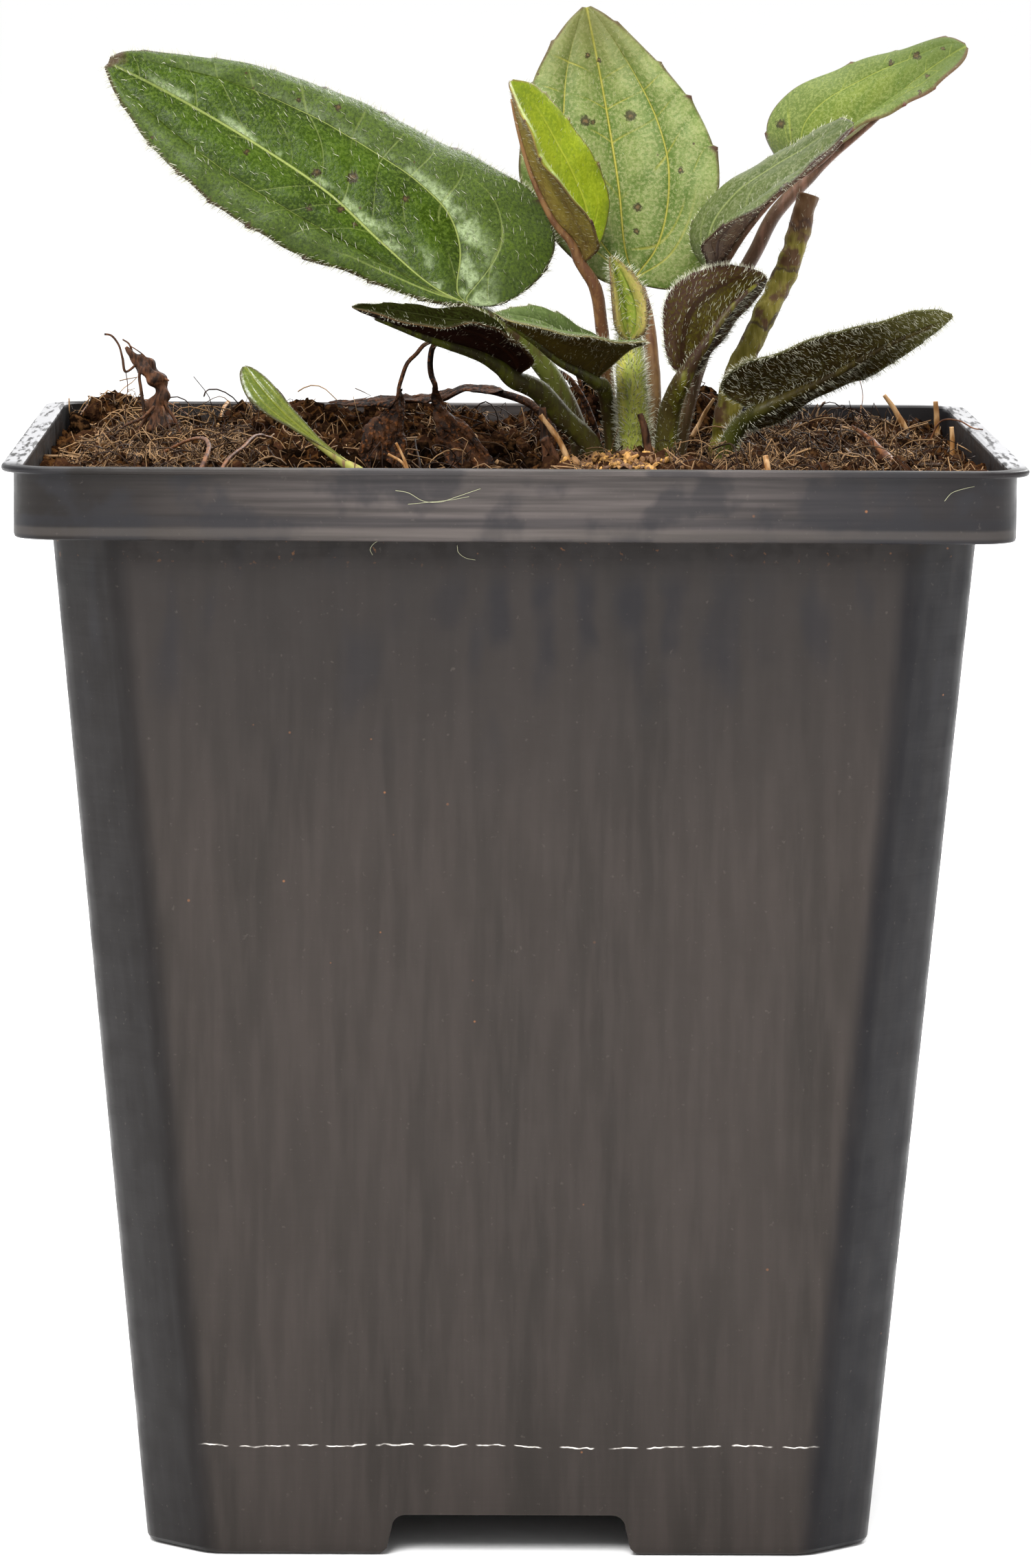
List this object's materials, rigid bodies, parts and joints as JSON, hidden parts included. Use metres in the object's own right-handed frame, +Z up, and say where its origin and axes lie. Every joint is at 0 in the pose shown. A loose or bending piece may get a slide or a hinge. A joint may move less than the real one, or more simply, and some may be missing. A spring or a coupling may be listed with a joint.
{
  "type": "potted perennial plant",
  "caption": "Young goldsturm black-eyed susan with leaves but no flowers, standing in peat in a square plastic nursery pot.",
  "frame": {"origin": "middle of the pot's base, on the surface that the pot stands on", "axes": "+Z up, -Y towards the side that the picture shows, +X to its right"},
  "size_m": [0.09, 0.09, 0.1382],
  "materials": {
    "pot_plastic": "satin",
    "peat": "matte",
    "leaf_green": "satin",
    "leaf_dark": "matte",
    "leaf_pale": "satin",
    "leaf_bright": "satin",
    "leaf_purple": "matte",
    "leaf_dead": "matte",
    "stem_olive": "matte",
    "stem_brown": "matte"
  },
  "bodies": {
    "root": {"pot": "pot_plastic", "soil": "peat", "leaf_left": "leaf_green", "leaf_low_left": "leaf_dark", "leaf_front_small": "leaf_dark", "leaf_back": "leaf_pale", "leaf_folded": "leaf_bright", "leaf_right_top": "leaf_bright", "leaf_right": "leaf_pale", "leaf_purple": "leaf_purple", "leaf_low_right": "leaf_dark", "leaf_young": "leaf_pale", "seedling": "leaf_bright", "leaf_dead_long": "leaf_dead", "leaf_dead_short": "leaf_dead", "leaf_dead_back": "leaf_dead", "stem_cut": "stem_olive", "stub_brown": "stem_brown", "stalk_withered": "stem_brown"}
  },
  "joints": []
}
